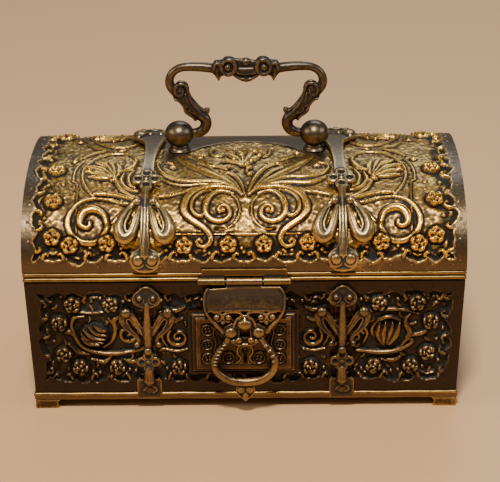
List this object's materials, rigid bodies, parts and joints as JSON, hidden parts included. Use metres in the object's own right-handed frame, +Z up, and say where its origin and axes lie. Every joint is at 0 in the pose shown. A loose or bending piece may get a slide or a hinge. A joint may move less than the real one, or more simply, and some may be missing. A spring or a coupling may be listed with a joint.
{
  "type": "jewel casket",
  "caption": "Small domed brass jewel casket with stamped floral panels, cast straps, a hinged ring hasp over a box lock, a swinging bail handle and bracket feet.",
  "frame": {"origin": "centre of the bounding box's floor, on the plane that the feet stand on", "axes": "+X along the front to the right, the longest way; +Y from the front to the back, the shortest way; +Z up"},
  "size_m": [0.16, 0.1056, 0.1215],
  "materials": {
    "stamped_brass_wall": "dark patina in the hollows, worn bright on the high places",
    "stamped_brass_lid": "aged, worn bright on the high places",
    "sheet_brass": "plain rolled sheet, aged",
    "cast_brass": "cast and aged, satin",
    "bright_brass": "rubbed bright",
    "brown_brass": "dark brown patina, smooth",
    "dark_steel": "oiled dark steel",
    "velvet_lining": "dark red velvet on card"
  },
  "bodies": {
    "case": {"case_shell": "sheet_brass", "case_lining": "velvet_lining", "case_panel_front": "stamped_brass_wall", "case_panel_back": "stamped_brass_wall", "case_panel_left": "stamped_brass_wall", "case_panel_right": "stamped_brass_wall", "case_rim": "bright_brass", "base_plate": "sheet_brass", "foot_front_left": "cast_brass", "foot_front_right": "cast_brass", "foot_back_left": "cast_brass", "foot_back_right": "cast_brass", "case_strap_front_left": "cast_brass", "case_strap_front_right": "cast_brass", "case_strap_back_left": "cast_brass", "case_strap_back_right": "cast_brass", "lock_plate": "cast_brass", "keyhole_rim": "bright_brass", "lock_back_plate": "dark_steel", "lock_key_post": "dark_steel", "lock_bolt_keeper": "dark_steel", "lock_spring": "dark_steel", "hinge_case_leaf_left": "cast_brass", "hinge_case_leaf_right": "cast_brass", "hinge_pin_left": "dark_steel", "hinge_pin_right": "dark_steel"},
    "lid": {"lid_cover": "stamped_brass_lid", "lid_shell": "sheet_brass", "lid_lining": "velvet_lining", "lid_end_left": "stamped_brass_wall", "lid_end_right": "stamped_brass_wall", "lid_rim": "bright_brass", "lid_strap_left": "cast_brass", "lid_strap_right": "cast_brass", "handle_knob_left": "brown_brass", "handle_knob_right": "brown_brass", "knob_nut_left": "cast_brass", "knob_nut_right": "cast_brass", "hinge_lid_leaf_left": "cast_brass", "hinge_lid_leaf_right": "cast_brass", "hasp_hinge_leaf": "bright_brass", "hasp_hinge_pin": "dark_steel"},
    "hasp": {"hasp": "cast_brass", "hasp_staple": "cast_brass"},
    "handle": {"bail": "brown_brass"},
    "bolt": {"lock_bolt": "dark_steel"}
  },
  "joints": [
    {"name": "lid_open", "type": "hinge", "parent": "case", "child": "lid", "pos_m": [0, 0.05131, 0.05365], "axis": [-1, 0, 0], "range_deg": [0, 105]},
    {"name": "hasp_swing", "type": "hinge", "parent": "lid", "child": "hasp", "pos_m": [0, -0.04829, 0.0528], "axis": [-1, 0, 0], "range_deg": [0, 130]},
    {"name": "handle_swing", "type": "hinge", "parent": "lid", "child": "handle", "pos_m": [0.001, 0.00141, 0.092], "axis": [1, 0, 0], "range_deg": [-95, 95]},
    {"name": "bolt_slide", "type": "slide", "parent": "case", "child": "bolt", "axis": [1, 0, 0], "range_m": [0, 0.004]}
  ]
}
